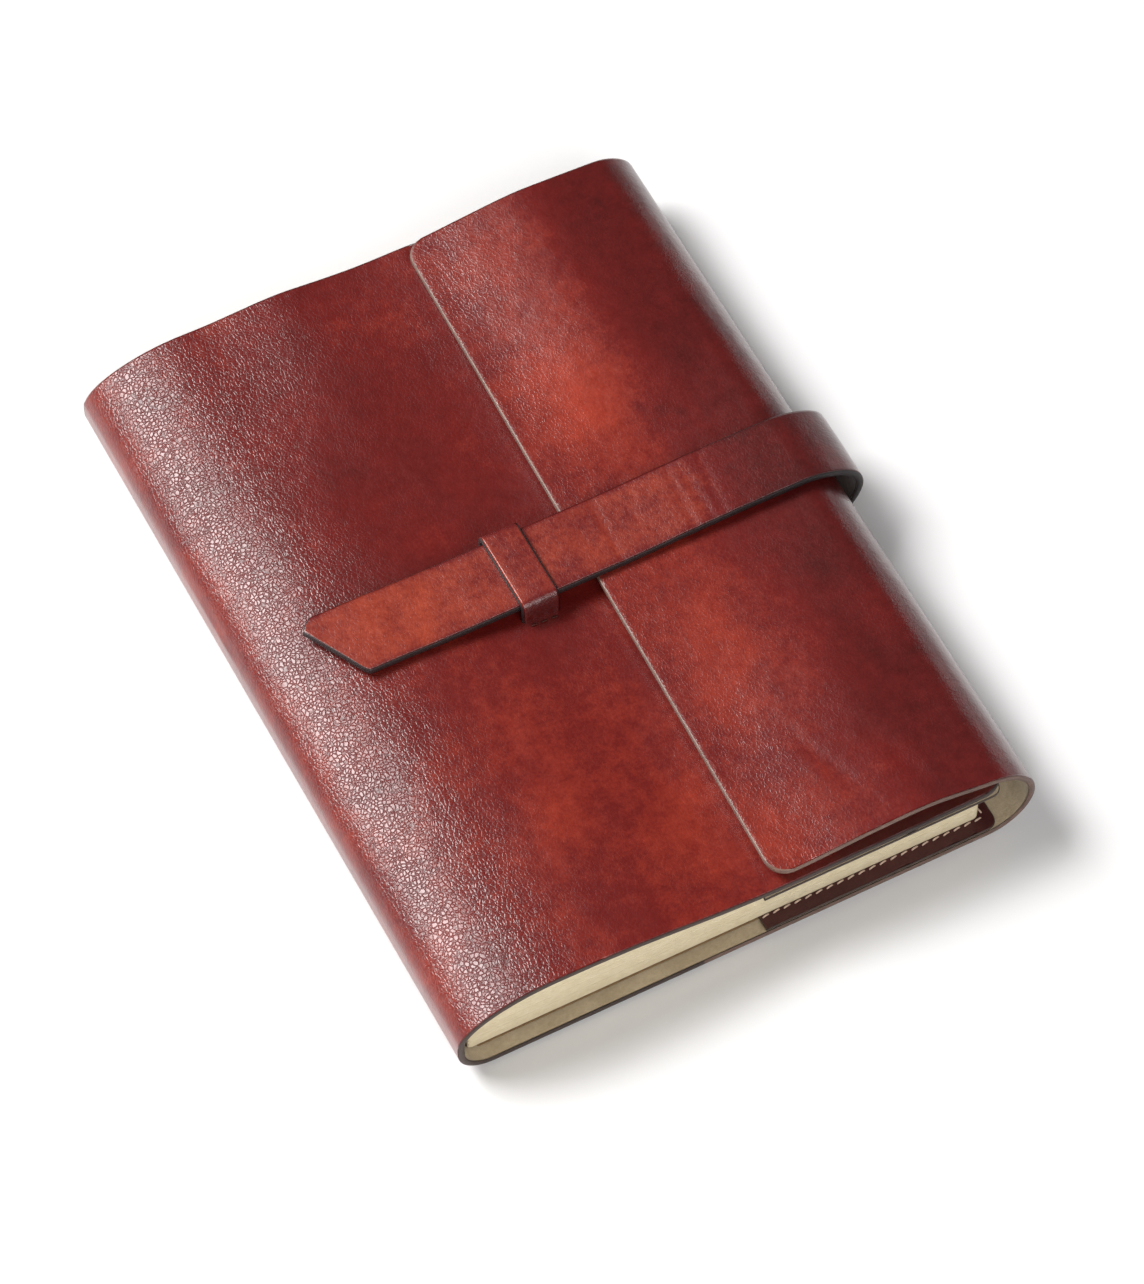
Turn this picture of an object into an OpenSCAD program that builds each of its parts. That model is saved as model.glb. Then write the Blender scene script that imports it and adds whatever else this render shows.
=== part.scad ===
// Refillable leather notebook cover: one wrapped hide with a fore-edge flap,
// a strap held by a keeper, two inner pockets and an A5 notebook inside.
// Lengths are in millimetres. Z is up, Y runs along the spine, X from the spine to the fore-edge.

/* [Notebook] */
// Width of the notebook's pages
page_w = 148; // [120:1:180]
// Height of the notebook's pages
page_h = 210; // [160:1:250]
// Thickness of the whole block of pages
block_t = 15; // [8:0.5:20]
// Radius of the pages' two outer corners
page_corner_r = 2; // [2:0.5:12]
// Distance the notebook is pushed down towards the cover's foot
page_shift = 1; // [0:0.25:1]
// Thickness of the notebook's card covers
card_t = 0.4; // [0.2:0.05:0.8]

/* [Leather] */
// Thickness of the main hide
leather_t = 1.8; // [1.2:0.1:2.4]
// Thickness of the pocket leather
pocket_t = 0.8; // [0.6:0.1:1.2]
// Length the cover stands past the pages at each end
end_room = 5.5; // [3:0.5:10]
// Distance from the pages to the outside of the fore-edge fold
fore_room = 13.2; // [12.5:0.1:20]
// Distance from the outside of the spine to the pages
spine_room = 4.8; // [4.4:0.1:8]
// Radius of the spine's two long bends
spine_r = 8; // [7:0.5:9.5]
// Depth of the hollow in the front between the spine and the flap
dip = 4.5; // [3:0.25:6]
// Distance from the spine to where the hollow starts
dip_start = 34; // [26:1:44]
// Distance from the spine to where the hollow is deepest
dip_end = 92; // [80:1:100]
// Radius of the front's outer corners
front_corner_r = 7; // [3:0.5:12]

/* [Flap] */
// Distance the flap reaches back from the outside of the fold, at mid-height
flap_reach = 71; // [60:1:78]
// How much further the flap reaches at the foot than at the head
flap_skew = 5; // [0:0.5:8]
// Radius of the flap's free corners
flap_corner_r = 6; // [4:0.5:14]
// Distance the flap's foot and head are set back from the cover's ends
flap_inset = 1; // [0:0.25:3]

/* [Strap and keeper] */
// Width of the strap
strap_w = 22; // [16:0.5:26]
// Thickness of the strap
strap_t = 2.1; // [1.4:0.1:2.2]
// Height of the strap's middle line above the cover's middle
strap_y = 2; // [-20:1:20]
// Distance from the spine to the strap's point
strap_tip_x = 16; // [16:0.5:24]
// Length of the slanted cut across the strap's end
tip_cut = 10; // [4:0.5:16]
// Distance from the spine to the middle of the keeper
keeper_x = 75; // [70:0.5:75]
// Width of the keeper
keeper_w = 11; // [7:0.5:12]
// Thickness of the keeper leather
keeper_t = 1.5; // [1:0.1:2]

/* [Pockets and stitching] */
// Distance from the spine to the back pocket's open edge
back_pocket_x = 88; // [70:1:110]
// Distance from the spine to the front pocket's open edge
front_pocket_x = 87; // [82:1:110]
// Distance of the stitching from the leather's ends
stitch_in = 3.9; // [3:0.1:4.4]
// Distance from one stitch to the next
stitch_pitch = 3; // [2.6:0.1:4]
// Visible length of one stitch
stitch_len = 2.2; // [1.6:0.1:2.5]
// Thickness of the thread
thread_d = 0.6; // [0.4:0.05:0.8]
// Slant of each stitch
stitch_slant = 14; // [0:1:25]

/* [Hidden] */
// running gaps and small fits
gap = 0.1;
split_gap = 0.15;
lay_gap = 0.2;
eps = 0.01;
// overall sizes of the closed cover
cover_w = spine_room + page_w + fore_room;
cover_h = page_h + 2 * end_room;
// levels of the stack, from the table up
back_card_z = leather_t + gap;
back_leaf_z = back_card_z + card_t + gap;
block_z = back_leaf_z + pocket_t + gap;
block_top = block_z + block_t;
front_leaf_z = block_top + gap;
front_card_z = front_leaf_z + pocket_t + gap;
front_card_top = front_card_z + card_t;
front_room = 0.5;
front_low = front_card_top + front_room + leather_t;
cover_d = front_low + dip;
half_d = cover_d / 2;
// fore-edge fold
fold_r = half_d;
fold_x = cover_w - fold_r;
fold_in = fold_r - leather_t;
// strap path round the fold
strap_in = fold_r + lay_gap;
strap_out = strap_in + strap_t;
strap_z = cover_d + lay_gap;
strap_top = strap_z + strap_t;
hinge_z = strap_top / 2;
hinge_x = fold_x + sqrt(strap_out * strap_out - pow(hinge_z - half_d, 2));
slit_a = -47;
slit_b = -56;
slit_play = 0.4;
anchor_out = fold_in - lay_gap;
anchor_t = 1.2;
anchor_in = anchor_out - anchor_t;
anchor_end = -5;
// strap links that fold up to draw the end out of the keeper
link_a_x = fold_x;
keeper_right = keeper_x + keeper_w / 2;
link_c_x = keeper_right + 0.5;
link_len = (link_a_x - link_c_x) / 2;
link_b_x = link_a_x - link_len;
// keeper
keeper_bar_z = strap_top + 0.3;
keeper_side = strap_w / 2 + 0.5;
keeper_foot_t = 0.5;
keeper_foot_len = 6;
keeper_foot_z = front_card_top + gap;
// pockets
leaf_end = fold_x + sqrt(pow(fold_in, 2) - pow(half_d - back_leaf_z, 2)) - 0.2;
front_end = cover_w - 8;
front_leaf_end = front_end - 1.5;
leaf_corner_r = 3;
pocket_row_x = fold_x + 0.7;
row_y = cover_h / 2 - stitch_in;
groove_w = thread_d + 0.3;
groove_d = thread_d + 0.05;
row_step = 1.4;
// notebook
page_x0 = spine_room;
page_x1 = spine_room + page_w;
paper_t = 0.15;
signature_count = 8;
sheet_gap = 0.03;
stack_t = block_t - 2 * (paper_t + sheet_gap);
signature_t = stack_t / signature_count - sheet_gap;
card_x0 = spine_r - 0.5;
card_x1 = fold_x + 0.9;
front_card_x1 = front_leaf_end - 1.5;
card_low_x = keeper_x - keeper_w / 2 - 3.5;
tape_t = 0.3;
tape_x = page_x0 - 0.9;
sew_stations = 5;
sew_len = 12;
sew_d = 0.35;
// shape steps
wave_steps = 20;
seam = 3;
span_x = hinge_x + (strap_out - (hinge_x - fold_x));

// puts the part's middle on the origin
module in_frame() {
    translate([-span_x / 2, 0, 0]) children();
}

// the same, for the pieces of the notebook
module in_book() {
    translate([-span_x / 2, -page_shift, 0]) children();
}

// draws a cross-section in the X-Z plane along the cover's height
module along(y0, y1) {
    translate([0, y1, 0])
        rotate([90, 0, 0])
            linear_extrude(height = y1 - y0) children();
}

function polar(r, a) = [r * cos(a), r * sin(a)];

// part of a flat ring between two angles less than 180 degrees apart
module ring_part(r0, r1, a0, a1) {
    intersection() {
        difference() {
            circle(r = r1, $fn = 96);
            circle(r = r0, $fn = 96);
        }
        polygon([[0, 0], polar(3 * r1, a0), polar(3 * r1, (a0 + a1) / 2), polar(3 * r1, a1)]);
    }
}

// flat plate with rounded outer corners
module plate(x0, x1, half_y, r, z0, t) {
    translate([0, 0, z0])
        linear_extrude(height = t)
            plate_outline(x0, x1, half_y, r);
}

module plate_outline(x0, x1, half_y, r) {
    union() {
        translate([x0, -half_y]) square([x1 - r - x0, 2 * half_y]);
        translate([x0, r - half_y]) square([x1 - x0, 2 * (half_y - r)]);
        for (s = [-1, 1])
            translate([x1 - r, s * (half_y - r)]) circle(r = r, $fn = 48);
    }
}

// height of the front's outer face at a distance from the spine
function dip_part(x) = min(1, max(0, (x - dip_start) / (dip_end - dip_start)));
function front_z(x) = cover_d - dip * (1 - cos(180 * dip_part(x))) / 2;
function wave_x(i) = dip_start + (dip_end - dip_start) * i / wave_steps;

// cross-section of the front panel from the spine bend to its free edge
module front_section() {
    unders = concat(
        [[spine_r + seam, cover_d - leather_t]],
        [for (i = [0 : wave_steps]) [wave_x(i), front_z(wave_x(i)) - leather_t]],
        [[front_end, front_low - leather_t]]
    );
    tops = concat(
        [[front_end, front_low]],
        [for (i = [wave_steps : -1 : 0]) [wave_x(i), front_z(wave_x(i))]],
        [[spine_r + seam, cover_d]]
    );
    polygon(concat(unders, tops));
}

// one long bend of the spine
module spine_bend(z, a0, a1) {
    translate([spine_r, z]) ring_part(spine_r - leather_t, spine_r, a0, a1);
}

// cuts for the keeper's two legs
module keeper_slots() {
    for (s = [-1, 1])
        translate([keeper_x, strap_y + s * (keeper_side + keeper_t / 2), front_low])
            cube([keeper_w + lay_gap, keeper_t + lay_gap, 4 * dip], center = true);
}

module front_cover() {
    color([0.45, 0.13, 0.08]) in_frame() difference() {
        intersection() {
            along(-cover_h / 2, cover_h / 2) union() {
                translate([0, hinge_split_low()])
                    square([leather_t, cover_d - spine_r - hinge_split_low()]);
                spine_bend(cover_d - spine_r, 90, 180);
                translate([spine_r, cover_d - leather_t]) square([2 * seam, leather_t]);
                front_section();
            }
            plate(-1, front_end, cover_h / 2, front_corner_r, 0, cover_d + 1);
        }
        keeper_slots();
    }
}

function hinge_split_low() = half_d + split_gap;

module back_cover() {
    color([0.42, 0.12, 0.08]) in_frame() difference() {
        along(-cover_h / 2, cover_h / 2) union() {
            translate([0, spine_r]) square([leather_t, half_d - split_gap - spine_r]);
            spine_bend(spine_r, 180, 270);
            translate([spine_r, 0]) square([fold_x - spine_r, leather_t]);
            fold_lower_section();
        }
        strap_slit();
        back_grooves();
    }
}

// lower half of the fore-edge fold, ending just under the flap's hinge line
module fold_lower_section() {
    translate([fold_x, half_d]) ring_part(fold_in, fold_r, -90, 0);
    translate([cover_w - leather_t, half_d])
        square([leather_t, hinge_z - half_d - split_gap]);
}

// opening through the fold that the strap's end passes
module strap_slit() {
    along(strap_y - strap_w / 2 - slit_play / 2, strap_y + strap_w / 2 + slit_play / 2)
        translate([fold_x, half_d])
            ring_part(fold_in - 1, fold_r + 1, slit_a + 1, slit_b - 1);
}

// channels under the back that the pocket's thread is sunk in
module back_grooves() {
    for (s = [-1, 1])
        translate([back_pocket_x, s * row_y - groove_w / 2, -eps])
            cube([pocket_row_x - back_pocket_x, groove_w, groove_d + eps]);
}

function flap_x(y) = cover_w - flap_reach + flap_skew * y / cover_h;

module flap() {
    color([0.48, 0.15, 0.09]) in_frame() union() {
        intersection() {
            along(-cover_h / 2, cover_h / 2)
                translate([0, cover_d - leather_t]) square([fold_x, leather_t]);
            linear_extrude(height = cover_d + 1) flap_outline();
        }
        along(-cover_h / 2, cover_h / 2)
            translate([fold_x, half_d]) intersection() {
                ring_part(fold_in, fold_r, 0, 90);
                translate([-eps, hinge_z - half_d + split_gap]) square([2 * fold_r, fold_r]);
            }
    }
}

// outline of the flap from above, with its slanted free edge and rounded corners
module flap_outline() {
    half = cover_h / 2 - flap_inset;
    slant = atan(flap_skew / cover_h);
    inner = half - flap_corner_r;
    union() {
        polygon([
            [flap_x(-inner), -inner],
            [fold_x + eps, -inner],
            [fold_x + eps, inner],
            [flap_x(inner), inner]
        ]);
        for (s = [-1, 1]) {
            translate([flap_x(s * inner) + flap_corner_r, s * inner])
                circle(r = flap_corner_r * cos(slant), $fn = 48);
            translate([flap_x(s * inner) + flap_corner_r, min(s * inner, s * half)])
                square([fold_x + eps - flap_x(s * inner) - flap_corner_r, half - inner]);
        }
        translate([fold_x - half_d, -cover_h / 2]) square([half_d + eps, cover_h]);
    }
}

// straight stitches in a row along X or Y, each one slanted
module stitch(along_y, side) {
    rotate([0, 0, (along_y ? 90 : 0) + side * stitch_slant])
        cube([stitch_len, thread_d, thread_d], center = true);
}

module stitch_row_x(x0, x1, y, z, side) {
    count = floor((x1 - x0) / stitch_pitch);
    for (i = [0 : count - 1])
        translate([x0 + (i + 1 / 2) * (x1 - x0) / count, y, z]) stitch(false, side);
}

module stitch_row_y(y0, y1, x, z, side) {
    count = floor((y1 - y0) / stitch_pitch);
    for (i = [0 : count - 1])
        translate([x, y0 + (i + 1 / 2) * (y1 - y0) / count, z]) stitch(true, side);
}

// leaf of thin leather, open towards the spine
module leaf(x0, x1, z0) {
    plate(x0, x1, cover_h / 2, leaf_corner_r, z0, pocket_t);
}

module back_pocket() {
    color([0.2, 0.08, 0.08]) in_frame() leaf(back_pocket_x, leaf_end, back_leaf_z);
}

module front_pocket() {
    color([0.2, 0.08, 0.08]) in_frame() leaf(front_pocket_x, front_leaf_end, front_leaf_z);
}

module back_pocket_stitching() {
    z = back_leaf_z + pocket_t + thread_d / 2 + sheet_gap;
    color([0.85, 0.75, 0.65]) in_frame() {
        for (s = [-1, 1]) {
            stitch_row_x(back_pocket_x, pocket_row_x, s * row_y, z, s);
            stitch_row_x(
                back_pocket_x + groove_w, pocket_row_x - groove_w, s * row_y, groove_d / 2, 0
            );
        }
        stitch_row_y(-row_y, row_y, pocket_row_x, z, 1);
    }
}

module front_pocket_stitching() {
    z = front_leaf_z - thread_d / 2 - sheet_gap;
    color([0.85, 0.75, 0.65]) in_frame() {
        for (s = [-1, 1])
            stitch_row_x(front_pocket_x, pocket_row_x, s * row_y, z, s);
        stitch_row_y(-row_y, row_y, pocket_row_x, z, 1);
    }
}

// length of strap between two cross-section lines, full width
module strap_piece() {
    along(strap_y - strap_w / 2, strap_y + strap_w / 2) children();
}

module strap_anchor() {
    low = hinge_z - half_d - split_gap;
    color([0.35, 0.1, 0.07]) in_frame() strap_piece()
        translate([fold_x, half_d]) union() {
            ring_part(strap_in, strap_out, slit_a, 0);
            ring_part(anchor_in, strap_out, slit_b, slit_a + eps);
            ring_part(anchor_in, anchor_out, slit_a, anchor_end);
            intersection() {
                ring_part(strap_in, strap_out, 0, 45);
                translate([0, -eps]) square([2 * strap_out, low + eps]);
            }
        }
}

module strap_anchor_stitching() {
    r = anchor_in - thread_d / 2 - sheet_gap;
    count = floor((strap_w - 2 * row_step) / stitch_pitch);
    span = strap_w - 2 * row_step;
    color([0.85, 0.75, 0.65]) in_frame()
        for (a = [slit_a + 12, anchor_end - 10])
            for (i = [0 : count - 1])
                translate([
                    fold_x + r * cos(a),
                    strap_y - span / 2 + (i + 1 / 2) * span / count,
                    half_d + r * sin(a)
                ])
                    rotate([0, -a, 0])
                        cube([thread_d, stitch_len, thread_d], center = true);
}

module strap_bend() {
    color([0.4, 0.12, 0.08]) in_frame() strap_piece() union() {
        translate([fold_x, half_d]) intersection() {
            ring_part(strap_in, strap_out, 0, 90);
            translate([split_gap, hinge_z - half_d + split_gap])
                square([2 * strap_out, strap_out]);
        }
    }
}

module strap_link_lower() {
    color([0.4, 0.12, 0.08]) in_frame() strap_piece()
        translate([link_b_x + split_gap, strap_z])
            square([link_len - 2 * split_gap, strap_t]);
}

module strap_link_upper() {
    color([0.4, 0.12, 0.08]) in_frame() strap_piece()
        translate([link_c_x + split_gap, strap_z])
            square([link_len - 2 * split_gap, strap_t]);
}

// free end: longest at the head side, cut on a slant towards the foot side
module strap_tip() {
    near = strap_y - strap_w / 2;
    far = strap_y + strap_w / 2;
    clip = strap_w / 7;
    color([0.42, 0.13, 0.08]) in_frame()
        translate([0, 0, strap_z])
            linear_extrude(height = strap_t)
                polygon([
                    [strap_tip_x + tip_cut, near],
                    [link_c_x - split_gap, near],
                    [link_c_x - split_gap, far],
                    [strap_tip_x + clip, far],
                    [strap_tip_x, far - clip]
                ]);
}

// loop over the strap: top bar, two legs through the front, two feet under it
module keeper() {
    color([0.46, 0.14, 0.08]) in_frame() {
        translate([keeper_right - keeper_w, strap_y - keeper_side - keeper_t, keeper_bar_z])
            cube([keeper_w, 2 * (keeper_side + keeper_t), keeper_t]);
        for (s = [-1, 1]) {
            translate([keeper_x, strap_y + s * (keeper_side + keeper_t / 2), 0])
                translate([-keeper_w / 2, -keeper_t / 2, keeper_foot_z])
                    cube([keeper_w, keeper_t, keeper_bar_z - keeper_foot_z + eps]);
            translate([
                keeper_x - keeper_w / 2,
                strap_y + s * (keeper_side + keeper_foot_len / 2) - keeper_foot_len / 2,
                keeper_foot_z
            ])
                cube([keeper_w, keeper_foot_len, keeper_foot_t]);
        }
    }
}

// rows of thread on the outside that hold the keeper's feet
module keeper_stitching() {
    y = keeper_side + keeper_t + row_step;
    tilt = atan((front_z(keeper_x + 1) - front_z(keeper_x - 1)) / 2);
    color([0.25, 0.1, 0.08]) in_frame()
        for (s = [-1, 1])
            for (i = [-1 : 1])
                translate([
                    keeper_x + i * stitch_pitch,
                    strap_y + s * y,
                    front_z(keeper_x + i * stitch_pitch) + thread_d / 2 + lay_gap
                ])
                    rotate([0, -tilt, 0])
                        cube([stitch_len, thread_d, thread_d], center = true);
}

module card(x0, x1, z0) {
    plate(x0, x1, page_h / 2, page_corner_r, z0, card_t);
}

module notebook_back_card() {
    color([0.55, 0.4, 0.25]) in_book() card(card_x0, card_x1, back_card_z);
}

// the front card follows the front's hollow, and passes under the keeper's feet
function card_part(x) = min(1, max(0, (x - dip_start) / (card_low_x - dip_start)));
function card_fall(x) = (dip + front_room - gap) * (1 + cos(180 * card_part(x))) / 2;
function card_wave_x(i) = dip_start + (card_low_x - dip_start) * i / wave_steps;

module front_card_section() {
    unders = concat(
        [[card_x0, front_card_z + card_fall(card_x0)]],
        [for (i = [0 : wave_steps]) [card_wave_x(i), front_card_z + card_fall(card_wave_x(i))]],
        [[front_card_x1, front_card_z]]
    );
    tops = concat(
        [[front_card_x1, front_card_top]],
        [for (i = [wave_steps : -1 : 0]) [card_wave_x(i), front_card_top + card_fall(card_wave_x(i))]],
        [[card_x0, front_card_top + card_fall(card_x0)]]
    );
    polygon(concat(unders, tops));
}

module notebook_front_card() {
    color([0.55, 0.4, 0.25]) in_book() intersection() {
        along(-page_h / 2, page_h / 2) front_card_section();
        plate(card_x0, front_card_x1, page_h / 2, page_corner_r, 0, cover_d);
    }
}

module spine_tape() {
    tape_room = block_t / 12;
    color([0.3, 0.2, 0.15]) in_book()
        translate([tape_x, -page_h / 2, block_z + tape_room])
            cube([tape_t, page_h, block_t - 2 * tape_room]);
}

module binding_thread() {
    color([0.85, 0.8, 0.7]) in_book()
        for (i = [0 : sew_stations - 1]) {
            y = page_h * ((i + 1 / 2) / sew_stations - 1 / 2);
            for (s = [-1, 1])
                translate([tape_x + tape_t + sew_d / 2 + sheet_gap, y + s * sew_len / 2, block_z + 1])
                    cylinder(d = sew_d, h = block_t - 2, $fn = 16);
        }
}

module endpaper_back() {
    color([0.9, 0.86, 0.76]) in_book()
        plate(page_x0 + 1, page_x1, page_h / 2, page_corner_r, block_z, paper_t);
}

module endpaper_front() {
    color([0.9, 0.86, 0.76]) in_book()
        plate(page_x0 + 1, page_x1, page_h / 2, page_corner_r, block_top - paper_t, paper_t);
}

// folded sheets of one signature, rounded at the fold
module signature(i) {
    z = block_z + paper_t + sheet_gap + (i - 1) * (signature_t + sheet_gap);
    r = signature_t / 2;
    color([0.92, 0.88, 0.78]) in_book() union() {
        plate(page_x0 + r, page_x1, page_h / 2, page_corner_r, z, signature_t);
        translate([page_x0 + r, page_h / 2, z + r])
            rotate([90, 0, 0]) cylinder(r = r, h = page_h, $fn = 48);
    }
}

back_cover();
front_cover();
flap();
back_pocket();
back_pocket_stitching();
front_pocket();
front_pocket_stitching();
strap_anchor();
strap_anchor_stitching();
strap_bend();
strap_link_lower();
strap_link_upper();
strap_tip();
keeper();
keeper_stitching();
notebook_back_card();
notebook_front_card();
spine_tape();
binding_thread();
endpaper_back();
endpaper_front();
signature(1);  // signature_1
signature(2);  // signature_2
signature(3);  // signature_3
signature(4);  // signature_4
signature(5);  // signature_5
signature(6);  // signature_6
signature(7);  // signature_7
signature(8);  // signature_8
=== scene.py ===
"""Leather notebook cover with a fore-edge flap, a strap through a keeper, and an A5 notebook inside."""

import logging
import math
import random
from dataclasses import dataclass, field
from enum import Enum
from typing import Callable, Sequence

import bpy
import bmesh
import numpy as np
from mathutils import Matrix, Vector, noise


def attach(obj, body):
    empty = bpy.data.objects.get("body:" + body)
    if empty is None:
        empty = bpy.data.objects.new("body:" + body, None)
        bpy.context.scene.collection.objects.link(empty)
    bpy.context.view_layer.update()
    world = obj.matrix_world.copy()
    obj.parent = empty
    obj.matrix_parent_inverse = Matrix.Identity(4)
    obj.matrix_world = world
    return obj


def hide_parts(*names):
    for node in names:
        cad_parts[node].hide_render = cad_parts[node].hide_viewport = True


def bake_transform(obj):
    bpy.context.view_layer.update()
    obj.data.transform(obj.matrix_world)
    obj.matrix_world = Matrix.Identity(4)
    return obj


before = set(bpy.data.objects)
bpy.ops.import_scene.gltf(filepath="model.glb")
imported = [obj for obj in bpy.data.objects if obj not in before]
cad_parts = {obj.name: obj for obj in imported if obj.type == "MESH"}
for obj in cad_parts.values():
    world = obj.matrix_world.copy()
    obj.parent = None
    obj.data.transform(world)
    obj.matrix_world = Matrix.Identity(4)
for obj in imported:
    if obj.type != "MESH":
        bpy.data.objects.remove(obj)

log = logging.getLogger("notebook_cover")

MM = 0.001
DECIMETRE = 100.0
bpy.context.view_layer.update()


class Plane(Enum):
    """The plane that a sheet's cross-section lies in."""

    SIDE = "section in X and Z, rows along Y"
    END = "section in Y and Z, rows along X"


class Face(Enum):
    """The material slots that every leather piece carries."""

    GRAIN = 0
    FLESH = 1
    EDGE = 2


@dataclass(frozen=True)
class Sizes:
    """The closed cover's real sizes, in millimetres, X from the spine and Y from mid-height."""

    width: float = 166.0
    height: float = 221.0
    depth: float = 26.5
    hide: float = 1.8
    shoulder_x: float = 29.0
    shoulder_z: float = 13.5
    spine_low: float = 10.0
    dip: float = 4.5
    dip_start: float = 34.0
    dip_end: float = 92.0
    front_end: float = 158.0
    front_corner: float = 7.0
    flap_reach: float = 71.0
    flap_skew: float = 5.0
    flap_corner: float = 6.0
    flap_inset: float = 1.0
    strap_w: float = 22.0
    strap_t: float = 2.1
    strap_y: float = 2.0
    strap_tip: float = 16.0
    strap_lay: float = 0.2
    anchor_t: float = 1.2
    keeper_x: float = 75.0
    keeper_w: float = 11.0
    keeper_t: float = 1.5
    page_w: float = 148.0
    page_h: float = 210.0
    page_x: float = 4.8
    page_y: float = -1.0
    block: float = 15.0
    block_z: float = 3.3
    pocket: float = 0.8
    card: float = 0.4
    back_pocket_x: float = 88.0
    front_pocket_x: float = 87.0
    row_in: float = 3.9
    stitch_pitch: float = 3.0
    stitch_len: float = 2.1
    thread: float = 0.52
    span: float = 168.3

    @property
    def half(self) -> float:
        """Half the closed depth, which is also the fold's radius."""
        return self.depth / 2

    @property
    def fold_x(self) -> float:
        """Where the fore-edge fold's bend starts."""
        return self.width - self.half

    @property
    def anchor_r(self) -> float:
        """Radius of the sewn end's outer face, inside the fold."""
        return self.half - self.hide - self.strap_lay - self.anchor_t

    @property
    def strap_top(self) -> float:
        """Height of the strap's outer face."""
        return self.depth + self.strap_lay + self.strap_t


SIZES = Sizes()
KEEPER_ROOM = 0.5
LAY_GAP = 0.1


def row(x: float, y: float, z: float) -> tuple[float, float, float]:
    """Millimetres from the spine as metres in the shared frame."""
    return ((x - SIZES.span / 2) * MM, y * MM, z * MM)


def smooth(t: float) -> float:
    """0 to 1 with level ends."""
    t = min(1.0, max(0.0, t))
    return t * t * (3 - 2 * t)


def wave(x: float, y: float, z: float = 0.0) -> float:
    """Smooth noise, about -1 to 1."""
    return noise.noise(Vector((x, y, z)))


def scratch(
    x: float, y: float, a: tuple[float, float], b: tuple[float, float], width: float
) -> float:
    """How close a place is to a fine dark vein, 1 on it and 0 away.

    Args:
        x: Place along X.
        y: Place along Y.
        a: Start of the vein.
        b: End of the vein.
        width: Half width at its middle.

    Returns:
        Closeness.
    """
    along = np.array(b) - np.array(a)
    t = ((x - a[0]) * along[0] + (y - a[1]) * along[1]) / float(along @ along)
    if not 0 < t < 1:
        return 0.0
    bowed = 0.8 * math.sin(math.pi * t)
    off = (x - a[0]) * along[1] - (y - a[1]) * along[0]
    off = off / float(np.linalg.norm(along)) - bowed
    return math.exp(-((off / width) ** 2)) * smooth(t * 5) * smooth((1 - t) * 2)


class Path:
    """A cross-section's outer line, measured along its length."""

    def __init__(self, points: Sequence[tuple[float, float]], side: int) -> None:
        """Keeps the line and its lengths.

        Args:
            points: Points of the line, in millimetres.
            side: 1 if the outside lies to the left of the line's direction, -1 if to the right.
        """
        kept = [points[0]]
        for p in points[1:]:
            if math.dist(p, kept[-1]) > 1e-4:
                kept.append(p)
        self.points = np.array(kept, float)
        steps = np.linalg.norm(np.diff(self.points, axis=0), axis=1)
        self.lengths = np.concatenate([[0.0], np.cumsum(steps)])
        self.side = side
        tangents = np.gradient(self.points, self.lengths, axis=0)
        self.tangents = tangents / np.linalg.norm(tangents, axis=1)[:, None]

    @property
    def length(self) -> float:
        """The line's whole length."""
        return float(self.lengths[-1])

    def at(self, s: float) -> tuple[np.ndarray, np.ndarray, np.ndarray]:
        """The place, direction and outward normal at a length.

        Args:
            s: Length from the start, in millimetres.

        Returns:
            Point, unit tangent and unit outward normal.
        """
        point = np.array([np.interp(s, self.lengths, self.points[:, k]) for k in (0, 1)])
        tangent = np.array([np.interp(s, self.lengths, self.tangents[:, k]) for k in (0, 1)])
        tangent /= np.linalg.norm(tangent)
        normal = np.array([-tangent[1], tangent[0]]) * self.side
        return point, tangent, normal

    def find(self, axis: int, value: float) -> float:
        """The first length at which a coordinate passes a value."""
        line = self.points[:, axis]
        for i in range(len(line) - 1):
            low, high = sorted((line[i], line[i + 1]))
            if low <= value <= high and high > low:
                share = (value - line[i]) / (line[i + 1] - line[i])
                return float(self.lengths[i] + share * (self.lengths[i + 1] - self.lengths[i]))
        return self.length


def arc(cx: float, cz: float, r: float, a0: float, a1: float, steps: int = 24) -> list:
    """Points along an arc, angles in degrees."""
    return [
        (cx + r * math.cos(math.radians(a)), cz + r * math.sin(math.radians(a)))
        for a in np.linspace(a0, a1, steps)
    ]


def line(x0: float, x1: float, z: float, step: float = 1.5) -> list:
    """Points along a level line."""
    count = max(2, int(abs(x1 - x0) / step) + 1)
    return [(x, z) for x in np.linspace(x0, x1, count)]


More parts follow.
